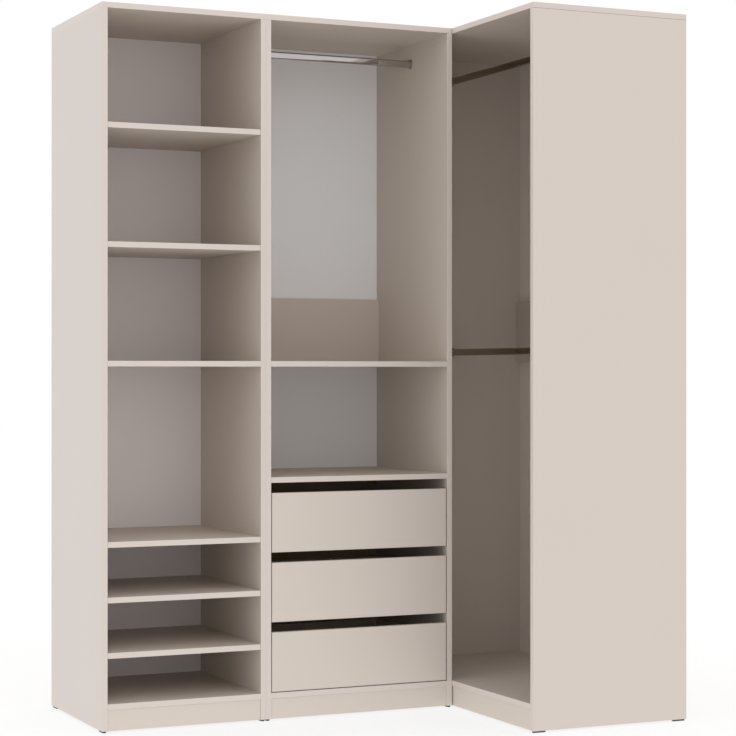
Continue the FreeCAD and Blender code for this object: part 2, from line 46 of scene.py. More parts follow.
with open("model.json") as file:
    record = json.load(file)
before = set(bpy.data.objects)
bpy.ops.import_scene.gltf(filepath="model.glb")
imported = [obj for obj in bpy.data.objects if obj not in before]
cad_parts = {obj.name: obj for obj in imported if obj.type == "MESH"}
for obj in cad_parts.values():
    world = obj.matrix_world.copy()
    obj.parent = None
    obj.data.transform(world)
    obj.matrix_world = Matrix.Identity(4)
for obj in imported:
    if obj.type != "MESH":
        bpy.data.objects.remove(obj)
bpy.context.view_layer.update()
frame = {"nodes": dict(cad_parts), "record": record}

X, Y, Z = 0, 1, 2
WHITE = (1.0, 1.0, 1.0)
SENSOR_WIDTH = 36.0

# Numbers and names that the frame's nodes have
DRAWERS = (1, 2, 3)
CORNER_MODULE = "corner_"
COVER_SHELF = "drawer_cover_shelf"
SLOT_OF = {part["node"]: part["material_slot"] for part in frame["record"]["subparts"]}

# In metres: vertices closer than the first are one vertex, and faces closer than the second touch
MERGE_DISTANCE = 0.00001
TOUCH = 0.0006

# Edges of two boards lie at one coordinate if it is the same to this many decimals of a metre
EDGE_DECIMALS = 5


def nodes_with(slot):
    """The frame's nodes that take their finish from one material slot."""
    return [node for node, name in SLOT_OF.items() if name == slot]


# Settings that a user would change


def length(name, description, default):
    """A setting in metres."""
    return FloatProperty(name=name, description=description, default=default, min=0.0,
                         precision=6, subtype="DISTANCE", unit="LENGTH")


def angle(name, description, degrees):
    """A setting that is an angle, with its default in degrees."""
    return FloatProperty(name=name, description=description, default=math.radians(degrees),
                         subtype="ANGLE", unit="ROTATION")


def share(name, description, default):
    """A setting from 0 to 1."""
    return FloatProperty(name=name, description=description, default=default, min=0.0, max=1.0,
                         subtype="FACTOR")


def factor(name, description, default):
    """A setting from 0 up."""
    return FloatProperty(name=name, description=description, default=default, min=0.0)


def two_factors(name, description, default):
    """A setting of two numbers from 0 up."""
    return FloatVectorProperty(name=name, description=description, default=default, size=2, min=0.0)


def colour(name, description, default):
    """A setting that is a colour."""
    return FloatVectorProperty(name=name, description=description, default=default, size=3,
                               min=0.0, max=1.0, subtype="COLOR")


class BoardSettings(PropertyGroup):
    """Boards with melamine faces, edge bands and a core of chips."""

    face: colour("Face", "Colour of the outer boards", (0.634, 0.566, 0.515))
    # Side face: a cooler, lighter copy of the board colour, painted light for how the light falls on the
    # left outer side
    lit_side_face: colour("Side face", "Colour of the left outer side, a touch cooler", (0.640, 0.578, 0.538))
    # Inner face: a warmer copy of the board colour for the left and middle modules and the drawer boxes,
    # painted shade of their interiors
    inner_shade_face: colour("Inner face", "Colour of the boards inside, a touch warmer", (0.612, 0.541, 0.478))
    # Front face: a lighter copy of the board colour, painted light on the drawer fronts and the plinths
    # against the shade of the corner wing and the floor
    lit_front_face: colour("Front face", "Colour of the drawer fronts and the plinths", (0.653, 0.585, 0.524))
    speckle: share("Speckle", "Difference in tone between the grains of the face", 0.035)
    grain: length("Grain", "Size of the grains of the face", 0.0011)
    grain_share: share("Grain share", "Part of the grains in the tone, beside the clouds", 0.7)
    cloud: length("Cloud", "Size of the soft clouds in the tone", 0.35)
    relief: length("Relief", "Depth of the grains of the face", 0.00006)
    roughness: share("Roughness", "Roughness of the melamine faces", 0.50)
    roughness_spread: share("Roughness spread", "Difference in roughness between the grains", 0.10)
    gloss: share("Gloss", "Strength of the reflections on the boards", 0.2)
    band: length("Edge band", "Thickness of the band glued on each shown edge", 0.001)
    # Band tint: edge bands lighter than the faces, painted light on the narrow front edges
    band_light_tint: factor("Band tint", "Lightness of the edge bands beside the outer boards", 1.06)
    band_roughness: share("Band roughness", "Roughness of the edge bands", 0.36)
    band_flatness: share("Band flatness", "Part of the relief that the edge bands lack", 0.8)
    seam: length("Seam", "Width of the glue line beside an edge band", 0.0003)
    seam_tint: factor("Seam tint", "Lightness of the glue lines beside the outer boards", 0.72)
    # The next three settings draw dark lines of painted shade where two boards meet, for the shade in the
    # crevice between them
    joint: length("Joint", "Width of the dark line where two boards meet", 0.0009)
    groove_shade: length("Groove", "Width of the groove where the tops of two modules meet", 0.0032)
    joint_shade_tint: factor("Joint tint", "Lightness of these lines beside the outer boards", 0.30)
    core_pale: colour("Pale chips", "Lightest chips of a cut board edge", (0.56, 0.40, 0.24))
    core_dark: colour("Dark chips", "Darkest chips of a cut board edge", (0.25, 0.15, 0.08))
    chip: length("Chip", "Size of the chips in a cut board edge", 0.0028)
    dust: length("Dust", "Size of the dust between the chips", 0.00112)
    chip_tone: share("Chip tone", "Part of the chips in the tone of a cut edge, beside the dust", 0.65)
    chip_height: share("Chip height", "Part of the chips in the relief of a cut edge, beside the dust", 0.6)
    cut_relief: length("Cut relief", "Depth of the chips in a cut board edge", 0.00036)
    cut_roughness: share("Cut roughness", "Roughness of a cut board edge", 0.88)


class PanelSettings(PropertyGroup):
    """Thin fibreboard with lacquer on one side."""

    # The three lacquers are copies of one back-panel colour, each toned to the light in its own module:
    # painted light and shade
    lacquer: colour("Lacquer", "Colour of the back of the shelf column", (0.83, 0.78, 0.775))
    middle_painted_light_lacquer: colour("Cool lacquer", "Colour of the back of the hanging module", (0.848, 0.848, 0.85))
    corner_painted_light_lacquer: colour("Corner lacquer", "Colour of the back of the corner module", (0.86, 0.822, 0.765))
    lacquer_tints: two_factors("Lacquer tints", "Darkest and lightest tint of the lacquer", (0.965, 1.035))
    skin: length("Skin", "Size of the fine dimples in the lacquer", 0.0016)
    skin_share: share("Skin share", "Part of the dimples in the tone, beside the clouds", 0.6)
    cloud: length("Cloud", "Size of the soft clouds in the tone", 0.3)
    relief: length("Relief", "Depth of the dimples in the lacquer", 0.00005)
    roughness: share("Roughness", "Roughness of the lacquer", 0.45)
    roughness_spread: share("Roughness spread", "Difference in roughness between the dimples", 0.08)
    gloss: share("Gloss", "Strength of the reflections on the lacquer", 0.25)
    fibre: colour("Fibre", "Colour of the bare fibreboard at the rear", (0.60, 0.46, 0.31))
    fibre_dark: colour("Dark fibre", "Colour of the darker fibres", (0.46, 0.335, 0.215))
    fibre_size: length("Fibre size", "Length of the fibres in the bare side", 0.006)
    fibre_share: share("Fibre share", "Part of the fibres in the bare side's tone, beside its clouds", 0.7)
    fibre_cloud: length("Fibre cloud", "Size of the clouds in the bare side", 0.06)
    fibre_relief: length("Fibre relief", "Depth of the fibres in the bare side", 0.00015)
    fibre_roughness: share("Fibre roughness", "Roughness that bare fibres have more than the lacquer", 0.42)


class MetalSettings(PropertyGroup):
    """Chrome, coated steel and zinc."""

    chrome: colour("Chrome", "Colour of the middle rail", (0.495, 0.465, 0.452))
    # Socket chrome: a darker copy of the rail chrome, painted shade where the sockets meet the side panels
    shaded_socket_chrome: colour("Socket chrome", "Colour of the rail sockets", (0.40, 0.372, 0.35))
    # Dark chrome: a darker, browner copy of the rail chrome, a painted reflection of the dark corner
    # interior
    shaded_corner_chrome: colour("Dark chrome", "Colour of the corner rails", (0.40, 0.35, 0.275))
    chrome_tints: two_factors("Chrome tints", "Darkest and lightest tint of the chrome", (0.96, 1.03))
    chrome_roughness: share("Chrome roughness", "Least roughness of the chrome", 0.02)
    chrome_spread: share("Chrome spread", "Roughness that lines, and smudges too, add to the chrome", 0.03)
    chrome_relief: length("Chrome relief", "Depth of the lines in the chrome", 0.000004)
    line: length("Line", "Width of the faint lines in the chrome", 0.0004)
    line_scale: share("Line scale", "Scale of the lines along a drawn tube, beside that across it", 0.004)
    cast_scale: share("Cast scale", "Scale of the pattern on a casting, beside that across a tube", 0.2)
    smudge: length("Smudge", "Size of the smudges on the chrome", 0.05)
    coat: colour("Runner coat", "Colour of the coated runners", (0.70, 0.69, 0.66))
    coat_tints: two_factors("Coat tints", "Darkest and lightest tint of the coat", (0.94, 1.04))
    coat_roughness: share("Coat roughness", "Least roughness of the coat", 0.38)
    coat_spread: share("Coat spread", "Roughness that the peel adds to the coat", 0.12)
    coat_relief: length("Coat relief", "Depth of the peel of the coat", 0.00008)
    peel: length("Peel", "Size of the coat's orange peel", 0.0009)
    peel_share: share("Peel share", "Part of the peel in the coat's tone, beside its clouds", 0.5)
    coat_cloud: length("Coat cloud", "Size of the soft clouds in the coat", 0.08)
    zinc: colour("Zinc", "Colour of cams, pins, screws and nails", (0.55, 0.55, 0.54))
    zinc_tints: two_factors("Zinc tints", "Darkest and lightest tint of the zinc", (0.82, 1.12))
    zinc_roughness: share("Zinc roughness", "Least roughness of the zinc", 0.34)
    zinc_spread: share("Zinc spread", "Roughness that the mottling adds to the zinc", 0.22)
    zinc_relief: length("Zinc relief", "Depth of the pits in the zinc", 0.00005)
    mottling: length("Mottling", "Size of the zinc's mottling", 0.0025)
    pit: length("Pit", "Size of the pits in the zinc", 0.0006)


class PlasticSettings(PropertyGroup):
    """Moulded plastic of the rollers, the foot glides and the cover caps."""

    roller: colour("Rollers", "Colour of the runner rollers", (0.75, 0.75, 0.73))
    roller_roughness: share("Roller roughness", "Roughness of the runner rollers", 0.42)
    glide: colour("Glides", "Colour of the foot glides", (0.07, 0.07, 0.07))
    glide_roughness: share("Glide roughness", "Roughness of the foot glides", 0.55)
    cap_tint: factor("Cap tint", "Lightness of the cover caps beside the outer boards", 0.97)
    cap_roughness: share("Cap roughness", "Roughness of the cover caps", 0.45)
    plastic_tints: two_factors("Plastic tints", "Darkest and lightest tint of a plastic", (0.88, 1.12))
    roughness_spread: share("Roughness spread", "Difference in roughness over the texture", 0.2)
    relief: length("Relief", "Depth of the moulded texture", 0.00005)
    texture: length("Texture", "Size of the moulded texture", 0.0007)
    flow: length("Flow", "Size of the clouds left by the flow in the mould", 0.02)
    flow_share: share("Flow share", "Part of these clouds in the tone, beside the texture", 0.6)


class FittingSizes(PropertyGroup):
    """Sizes of the cover caps, the screw heads and the nail heads."""

    cap_radius: length("Cap radius", "Radius of a cover cap", 0.0085)
    cap_height: length("Cap height", "Height of a cover cap", 0.0009)
    screw_radius: length("Screw radius", "Radius of a screw head", 0.0032)
    screw_height: length("Screw height", "Height of a screw head over the steel", 0.0008)
    slot_length: length("Slot length", "Length of each slot of a cross recess", 0.0034)
    slot_width: length("Slot width", "Width of each slot of a cross recess", 0.0009)
    screw_inset: length("Screw inset", "Distance of the outer screws from a runner's ends", 0.048)
    screws: IntProperty(name="Screws", description="Screws along one runner profile", default=3, min=2)
    runner_steel: length("Runner steel", "Thickness of the runner's bent steel", 0.0012)
    nail_radius: length("Nail radius", "Radius of a nail head", 0.0022)
    nail_height: length("Nail height", "Height of a nail head over the panel", 0.0003)
    nail_inset: length("Nail inset", "Distance of the nails from the panel's edge", 0.004)
    nail_pitch: length("Nail pitch", "Distance between nails", 0.12)


class StageSettings(PropertyGroup):
    """Floor, light and camera."""

    floor: colour("Floor", "Colour of the floor", WHITE)
    floor_size: length("Floor size", "Length of the floor's sides", 60.0)
    shadow: share("Shadow", "How dark the wardrobe's shadow on the floor gets", 0.22)
    sky: factor("Sky", "Strength of the soft light at eye level", 0.98)
    sides: factor("Sides", "Extra strength of the soft light from the right front and the left rear", 0.29)
    underfoot: factor("Underfoot", "Strength that the soft light loses straight below", 0.12)
    camera_place: FloatVectorProperty(name="Camera", description="Place of the camera", size=3,
                                      default=(-2.5259, -5.5313, 1.0083),
                                      subtype="TRANSLATION", unit="LENGTH")
    camera_turn: angle("Turn", "Turn of the camera to the right", 24.693)
    camera_tilt: angle("Tilt", "Tilt of the camera upwards", 0.074)
    camera_lens: FloatProperty(name="Lens", description=f"Focal length on a sensor {SENSOR_WIDTH:g} mm wide",
                               default=101.13, min=1.0, subtype="DISTANCE_CAMERA")


# Node trees written as expressions


def socket_of(sockets, key):
    """A socket by its place, its identifier or its name."""
    if isinstance(key, int):
        return sockets[key]
    for socket in sockets:
        if socket.identifier == key:
            return socket
    return sockets[key]


class Value:
    """An output socket that can stand in an expression, where each operator adds a Math node."""

    def __init__(self, graph, socket):
        self.graph = graph
        self.socket = socket

    def part(self, key):
        """Another output of the same node."""
        return Value(self.graph, socket_of(self.socket.node.outputs, key))

    def math(self, operation, first, second=0.0):
        return self.graph.node("ShaderNodeMath", {"operation": operation}, {0: first, 1: second})

    def least(self, other):
        return self.math("MINIMUM", self, other)

    def most(self, other):
        return self.math("MAXIMUM", self, other)

    def __add__(self, other):
        return self.math("ADD", self, other)

    def __radd__(self, other):
        return self.math("ADD", other, self)

    def __sub__(self, other):
        return self.math("SUBTRACT", self, other)

    def __rsub__(self, other):
        return self.math("SUBTRACT", other, self)

    def __mul__(self, other):
        return self.math("MULTIPLY", self, other)

    def __abs__(self):
        return self.math("ABSOLUTE", self)

    def __lt__(self, other):
        return self.math("LESS_THAN", self, other)

    def __gt__(self, other):
        return self.math("GREATER_THAN", self, other)


def blended(first, second, part):
    """Two patterns in one: a part of the first and the rest of the second."""
    return first * part + second * (1.0 - part)


def varied(level, pattern, spread):
    """A level that a pattern from 0 to 1 lowers and raises by half the spread."""
    return level + (pattern - 0.5) * spread


def chosen(mask, first, second):
    """One number where the mask is 0 and another where it is 1."""
    return first * (1.0 - mask) + mask * second


class Graph:
    """A node tree that one method fills."""

    def __init__(self, tree):
        self.tree = tree

    def node(self, kind, settings=None, inputs=None, output=0):
        """Add a node, set it up, feed its sockets and return one of its outputs."""
        node = self.tree.nodes.new(kind)
        for name, content in (settings or {}).items():
            setattr(node, name, content)
        for key, content in (inputs or {}).items():
            self.feed(socket_of(node.inputs, key), content)
        if node.outputs:
            return Value(self, socket_of(node.outputs, output))
        return None

    def feed(self, socket, content):
        """Link values into a socket, or set the number, colour or vector that it holds."""
        for item in content if isinstance(content, list) else [content]:
            if isinstance(item, Value):
                self.tree.links.new(item.socket, socket)
            else:
                socket.default_value = item


def emptied(owner):
    """The node tree of a material or a world, without its nodes."""
    owner.use_nodes = True
    owner.node_tree.nodes.clear()
    return owner.node_tree


def opaque(content):
    """A colour of three numbers as the four that a colour socket holds."""
    return content if isinstance(content, Value) else (*content, 1.0)


def tinted(tone, tint):
    """A colour made lighter or darker by one factor."""
    return tuple(min(1.0, channel * tint) for channel in tone)


# Detail of a noise pattern
SOFT, FINE, FINER, FINEST = 2.0, 3.0, 4.0, 5.0

# A surface faces along an axis if its normal's part on that axis is more than the first number, and runs
# along the axis if it is less than the second
FACES_ALONG = 0.8
RUNS_ALONG = 0.5


class Finish(Graph):
    """A material, with the patterns that the finishes share."""

    def __init__(self, name):
        self.material = bpy.data.materials.new(name)
        super().__init__(emptied(self.material))
        self.place = self.node("ShaderNodeTexCoord", output="Object")
        self.axes = self.node("ShaderNodeSeparateXYZ", inputs={"Vector": self.place})

    def along(self, axis):
        """The coordinate of a point along X, Y or Z, in metres."""
        return self.axes.part(axis)

    def facing(self, axis):
        """How much a surface faces along X, Y or Z, from -1 to 1."""
        normal = self.node("ShaderNodeNewGeometry", output="Normal")
        return self.node("ShaderNodeSeparateXYZ", inputs={"Vector": normal}, output=axis)

    def faces_one_of(self, ways):
        """1 where a surface faces one of some ways, each an axis and a sign, and else 0."""
        return reduce(Value.most, [self.facing(axis) * sign > FACES_ALONG for axis, sign in ways])

    def runs(self, axis):
        """1 where a surface runs along X, Y or Z, and 0 where it faces that way."""
        return abs(self.facing(axis)) < RUNS_ALONG

    def noise(self, size, detail=SOFT, scales=(1.0, 1.0, 1.0)):
        """A soft random pattern from 0 to 1 with features of one size, drawn out where a scale is small."""
        place = self.node("ShaderNodeMapping", inputs={"Vector": self.place, "Scale": scales})
        return self.node("ShaderNodeTexNoise", inputs={
            "Vector": place, "Scale": 1.0 / size, "Detail": detail})

    def chips(self, size):
        """A random tone from 0 to 1 for each chip of one size."""
        cells = self.node("ShaderNodeTexVoronoi", inputs={"Vector": self.place, "Scale": 1.0 / size},
                          output="Color")
        return self.node("ShaderNodeSeparateColor", inputs={"Color": cells}, output="Red")

    def mixed(self, mask, first, second):
        """One colour where the mask is 0 and another where it is 1."""
        colours = {"Factor_Float": mask, "A_Color": opaque(first), "B_Color": opaque(second)}
        return self.node("ShaderNodeMix", {"data_type": "RGBA"}, colours, "Result_Color")

    def mottled(self, pattern, tone, tints):
        """A colour between its darkest and its lightest tint, as a pattern goes from 0 to 1."""
        darkest, lightest = tints
        return self.mixed(pattern, tinted(tone, darkest), tinted(tone, lightest))

    def relief(self, height, depth):
        """A bumpy surface from a height between 0 and 1, as deep as given in metres."""
        return self.node("ShaderNodeBump", inputs={"Height": height, "Distance": depth})

    def shade(self, inputs):
        """Close the material with its shader."""
        shader = self.node("ShaderNodeBsdfPrincipled", inputs=inputs)
        self.node("ShaderNodeOutputMaterial", inputs={"Surface": shader})
        return self.material


# Finishes


def chipboard(finish, board):
    """The tone and the height of the chips and the dust in a cut board edge."""
    chips = finish.chips(board.chip)
    dust = finish.noise(board.dust, FINER)
    tone = finish.mixed(blended(chips, dust, board.chip_tone), board.core_dark, board.core_pale)
    height = blended(chips, dust, board.chip_height) * (board.cut_relief / board.relief)
    return tone, height


def melamine(tone, edges, bare, joint_shades):
    """Board with melamine faces of one tone, an edge band on some edges, bare chips on others and painted
    shade where it meets other boards.

    An edge is an axis, a coordinate on it and the tone of its band, a bare edge is an axis and the way
    that it faces, and each line of painted shade where it meets another board is an axis, a coordinate and a
    width.
    """
    board = bpy.context.scene.wardrobe_boards
    finish = Finish("melamine_board")
    grains = finish.noise(board.grain, FINE)
    clouds = finish.noise(board.cloud)
    skin = finish.mottled(blended(grains, clouds, board.grain_share), tone,
                          (1.0 - board.speckle, 1.0 + board.speckle))
    roughness = varied(board.roughness, grains, board.roughness_spread)
    height = grains
    for axis, coordinate, band_colour in edges:
        from_edge = abs(finish.along(axis) - coordinate)
        band = from_edge < board.band
        seam = abs(from_edge - board.band) < board.seam / 2
        skin = finish.mixed(band, skin, band_colour)
        skin = finish.mixed(seam, skin, tinted(board.face, board.seam_tint))
        roughness = chosen(band, roughness, board.band_roughness)
        height = height * (1.0 - band * board.band_flatness)
    for axis, coordinate, width in joint_shades:
        # Painted shade: a dark line where two boards meet, on the faces that run along the axis
        line = abs(finish.along(axis) - coordinate) < width / 2
        skin = finish.mixed(line * finish.runs(axis), skin, tinted(board.face, board.joint_shade_tint))
    if bare:
        cut = finish.faces_one_of(bare)
        core, core_height = chipboard(finish, board)
        skin = finish.mixed(cut, skin, core)
        roughness = chosen(cut, roughness, board.cut_roughness)
        height = chosen(cut, height, core_height)
    return finish.shade({"Base Color": skin, "Roughness": roughness, "Specular IOR Level": board.gloss,
                         "Normal": finish.relief(height, board.relief)})


def lacquered_panel(tone, axis, way, lacquered_from=None):
    """Thin fibreboard: lacquer on the shown side and bare fibres on the side that faces along an axis.

    With a height given, the lacquer starts there, and the fibres below it are bare on both sides.
    """
    panel = bpy.context.scene.wardrobe_panels
    finish = Finish("lacquered_panel")
    skin = finish.noise(panel.skin, FINE)
    lacquer = finish.mottled(blended(skin, finish.noise(panel.cloud), panel.skin_share), tone,
                             panel.lacquer_tints)
    fibres = blended(finish.noise(panel.fibre_size, FINEST), finish.noise(panel.fibre_cloud),
                     panel.fibre_share)
    rear = finish.faces_one_of([(axis, way)])
    if lacquered_from is not None:
        rear = rear.most(finish.along(Z) < lacquered_from)
    bare = finish.mixed(fibres, panel.fibre_dark, panel.fibre)
    roughness = varied(panel.roughness, skin, panel.roughness_spread) + rear * panel.fibre_roughness
    height = chosen(rear, skin, fibres * (panel.fibre_relief / panel.relief))
    return finish.shade({"Base Color": finish.mixed(rear, lacquer, bare), "Roughness": roughness,
                         "Specular IOR Level": panel.gloss, "Normal": finish.relief(height, panel.relief)})


def chrome(name, tone, scales):
    """Bright chrome with faint lines, drawn out where a scale is small, and a few smudges."""
    metal = bpy.context.scene.wardrobe_metals
    finish = Finish(name)
    lines = finish.noise(metal.line, scales=scales)
    smudges = finish.noise(metal.smudge, FINE)
    roughness = metal.chrome_roughness + lines * metal.chrome_spread + smudges * metal.chrome_spread
    return finish.shade({"Base Color": finish.mottled(smudges, tone, metal.chrome_tints), "Metallic": 1.0,
                         "Roughness": roughness, "Normal": finish.relief(lines, metal.chrome_relief)})


def coated_steel():
    """Pale powder coat over bent steel."""
    metal = bpy.context.scene.wardrobe_metals
    finish = Finish("runner_coat")
    peel = finish.noise(metal.peel)
    pattern = blended(peel, finish.noise(metal.coat_cloud), metal.peel_share)
    return finish.shade({"Base Color": finish.mottled(pattern, metal.coat, metal.coat_tints),
                         "Roughness": metal.coat_roughness + peel * metal.coat_spread,
                         "Normal": finish.relief(peel, metal.coat_relief)})


def zinc():
    """Dull zinc with the mottling of a casting."""
    metal = bpy.context.scene.wardrobe_metals
    finish = Finish("zinc")
    mottling = finish.noise(metal.mottling, FINER)
    pits = finish.noise(metal.pit)
    return finish.shade({"Base Color": finish.mottled(mottling, metal.zinc, metal.zinc_tints),
                         "Metallic": 1.0, "Roughness": metal.zinc_roughness + mottling * metal.zinc_spread,
                         "Normal": finish.relief(pits, metal.zinc_relief)})


def moulded_plastic(name, tone, roughness):
    """Moulded plastic with a fine spark-eroded texture."""
    plastic = bpy.context.scene.wardrobe_plastics
    finish = Finish(name)
    texture = finish.noise(plastic.texture, FINE)
    pattern = blended(finish.noise(plastic.flow), texture, plastic.flow_share)
    return finish.shade({"Base Color": finish.mottled(pattern, tone, plastic.plastic_tints),
                         "Roughness": varied(roughness, texture, plastic.roughness_spread),
                         "Normal": finish.relief(texture, plastic.relief)})


def dress(nodes, material):
    """Give one material to the slots of some nodes."""
    for node in nodes:
        for slot in frame["nodes"][node].material_slots:
            slot.material = material


# Small fittings on points

# The attribute of a point that says which way its head faces
FACING = "facing"

# Shapes of the heads: sides of their outlines, and radii and heights as parts of the whole head's
CAP_SIDES = 32
CAP_SHOULDER = 0.95
CAP_TOP = 0.80
CAP_RIM = 0.7
SCREW_SIDES = 24
SCREW_TOP = 0.78
SLOT_HEIGHT = 1.2
NAIL_SIDES = 12
NAIL_TOP = 0.85


def tree_with_inputs(name, sizes):
    """A geometry tree with a named input for the places, each size and the material."""
    tree = bpy.data.node_groups.new(name, "GeometryNodeTree")
    tree.interface.new_socket("Places", in_out="INPUT", socket_type="NodeSocketGeometry")
    for size in sizes:
        tree.interface.new_socket(size, in_out="INPUT", socket_type="NodeSocketFloat")
    tree.interface.new_socket("Material", in_out="INPUT", socket_type="NodeSocketMaterial")
    tree.interface.new_socket("Fittings", in_out="OUTPUT", socket_type="NodeSocketGeometry")
    graph = Graph(tree)
    return graph, graph.node("NodeGroupInput")


def cone(graph, sides, radius, top_radius, height):
    """A blunt cone that stands on its base."""
    return graph.node("GeometryNodeMeshCone", inputs={
        "Vertices": sides, "Radius Bottom": radius, "Radius Top": top_radius, "Depth": height})


def lifted(graph, shape, height):
    """A shape moved up by a height."""
    lift = graph.node("ShaderNodeCombineXYZ", inputs={"Z": height})
    return graph.node("GeometryNodeTransform", inputs={"Geometry": shape, "Translation": lift})


def place_heads(graph, given, head):
    """Put one head on each place, turned to the way that the place faces."""
    facing = graph.node("GeometryNodeInputNamedAttribute", {"data_type": "FLOAT_VECTOR"}, {"Name": FACING})
    turn = graph.node("FunctionNodeAlignRotationToVector", {"axis": "Z"}, {"Vector": facing})
    heads = graph.node("GeometryNodeInstanceOnPoints", inputs={
        "Points": given.part("Places"), "Instance": head, "Rotation": turn})
    solid = graph.node("GeometryNodeRealizeInstances", inputs={"Geometry": heads})
    finished = graph.node("GeometryNodeSetMaterial", inputs={
        "Geometry": solid, "Material": given.part("Material")})
    graph.node("NodeGroupOutput", inputs={"Fittings": finished})
    return graph.tree


def cap_tree():
    """Cover caps: a low disc with a rounded rim, made of two cones."""
    graph, given = tree_with_inputs("cover_caps", ("Radius", "Height"))
    radius, height = given.part("Radius"), given.part("Height")
    shoulder, rim_height = radius * CAP_SHOULDER, height * CAP_RIM
    rim = cone(graph, CAP_SIDES, radius, shoulder, rim_height)
    crown = cone(graph, CAP_SIDES, shoulder, radius * CAP_TOP, height * (1.0 - CAP_RIM))
    cap = graph.node("GeometryNodeMeshBoolean", {"operation": "UNION"},
                     {"Mesh 2": [rim, lifted(graph, crown, rim_height)]})
    return place_heads(graph, given, cap)


def screw_tree():
    """Screw heads: a flat cone with a cross recess cut into it."""
    graph, given = tree_with_inputs("screw_heads", ("Radius", "Height", "Slot Length", "Slot Width"))
    radius, height = given.part("Radius"), given.part("Height")
    head = cone(graph, SCREW_SIDES, radius, radius * SCREW_TOP, height)
    slots = []
    for long_side, short_side in (("X", "Y"), ("Y", "X")):
        size = graph.node("ShaderNodeCombineXYZ", inputs={
            long_side: given.part("Slot Length"), short_side: given.part("Slot Width"),
            "Z": height * SLOT_HEIGHT})
        slot = graph.node("GeometryNodeMeshCube", inputs={"Size": size})
        slots.append(lifted(graph, slot, height))
    cross = graph.node("GeometryNodeMeshBoolean", {"operation": "DIFFERENCE"},
                       {"Mesh 1": head, "Mesh 2": slots})
    return place_heads(graph, given, cross)


def nail_tree():
    """Nail heads: flat discs with a sloping rim."""
    graph, given = tree_with_inputs("nail_heads", ("Radius", "Height"))
    radius, height = given.part("Radius"), given.part("Height")
    return place_heads(graph, given, cone(graph, NAIL_SIDES, radius, radius * NAIL_TOP, height))


def points_at(name, places):
    """A mesh with a point at each place, which keeps the way that the place faces."""
    mesh = bpy.data.meshes.new(name)
    mesh.from_pydata([point for point, facing in places], [], [])
    mesh.attributes.new(FACING, "FLOAT_VECTOR", "POINT")
    for entry, (point, facing) in zip(mesh.attributes[FACING].data, places):
        entry.vector = facing
    return mesh


def fit_heads(name, body, places, tree, inputs):
    """Make the heads of one body as one plain mesh, which rides on that body."""
    points = points_at(f"{name}_places", places)
    piece = bpy.data.objects.new(name, points)
    bpy.context.scene.collection.objects.link(piece)
    modifier = piece.modifiers.new("heads", "NODES")
    modifier.node_group = tree
    for item in tree.interface.items_tree:
        if item.in_out == "INPUT" and item.name in inputs:
            modifier[item.identifier] = inputs[item.name]
    evaluated = piece.evaluated_get(bpy.context.evaluated_depsgraph_get())
    mesh = bpy.data.meshes.new_from_object(evaluated)
    if not mesh.polygons:
        raise RuntimeError(f"{name} came out empty")
    piece.modifiers.remove(modifier)
    piece.data = mesh
    mesh.name = name
    bpy.data.meshes.remove(points)
    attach(piece, body)


# Places read from the frame

# A cam's second longest side is at least this part of its longest, and a bolt's is less
CAM_ROUNDNESS = 0.9

# Heights of the screws into the back of a drawer box, as parts of its height
BOX_SCREW_RISES = (0.4, 0.8)


def solids_of(node):
    """The lowest and highest corner of each separate solid of a node."""
    mesh = bmesh.new()
    mesh.from_mesh(frame["nodes"][node].data)
    bmesh.ops.remove_doubles(mesh, verts=mesh.verts, dist=MERGE_DISTANCE)
    boxes = []
    waiting = set(mesh.verts)
    while waiting:
        reached = [waiting.pop()]
        corners = []
        while reached:
            vertex = reached.pop()
            corners.append(vertex.co.copy())
            for edge in vertex.link_edges:
                other = edge.other_vert(vertex)
                if other in waiting:
                    waiting.remove(other)
                    reached.append(other)
        boxes.append((Vector(map(min, zip(*corners))), Vector(map(max, zip(*corners)))))
    mesh.free()
    return boxes


def unit(axis, sign):
    """A vector of length 1 along X, Y or Z."""
    vector = Vector((0.0, 0.0, 0.0))
    vector[axis] = sign
    return vector


def inside(point, box):
    """Whether a point lies between the lowest and the highest corner of a box."""
    low, high = box
    return all(low[axis] < point[axis] < high[axis] for axis in (X, Y, Z))


def steps(low, high, count):
    """Evenly spaced numbers from the low to the high one."""
    return [low + (high - low) * index / (count - 1) for index in range(count)]


def cam_faces():
    """The middle and the facing of each cam whose open face no other board covers."""
    boards = [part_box(node) for node in nodes_with("melamine_board") + nodes_with("back_panel")]
    faces = []
    for low, high in solids_of("cam_fittings"):
        size = high - low
        thickness, width, longest = sorted(size)
        if width < longest * CAM_ROUNDNESS:
            continue
        axis = list(size).index(thickness)
        middle = (low + high) / 2
        for board_low, board_high in boards:
            if not inside(middle, (board_low, board_high)):
                continue
            sign = 1 if abs(high[axis] - board_high[axis]) < TOUCH else -1
            point = middle.copy()
            point[axis] = board_high[axis] if sign > 0 else board_low[axis]
            facing = unit(axis, sign)
            if not any(inside(point + facing * TOUCH, other) for other in boards):
                faces.append((point, facing))
    return faces


def runner_screws(node, sizes, on_drawer):
    """Screws along each profile of a node, whose heads lie on the web against the drawer or the carcass."""
    shelf_low, shelf_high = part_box(COVER_SHELF)
    centre = (shelf_low + shelf_high) / 2
    places = []
    for low, high in solids_of(node):
        middle = (low + high) / 2
        at_left = middle.x < centre.x
        inwards = 1.0 if at_left else -1.0
        if on_drawer:
            sign = -inwards
            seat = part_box(node.replace("runner_profiles", "left_side" if at_left else "right_side"))
        else:
            sign = inwards
            seat = (low, high)
        face = seat[0 if at_left else 1].x + sign * sizes.runner_steel
        for y in steps(low.y + sizes.screw_inset, high.y - sizes.screw_inset, sizes.screws):
            places.append((Vector((face, y, middle.z)), unit(X, sign)))
    return places


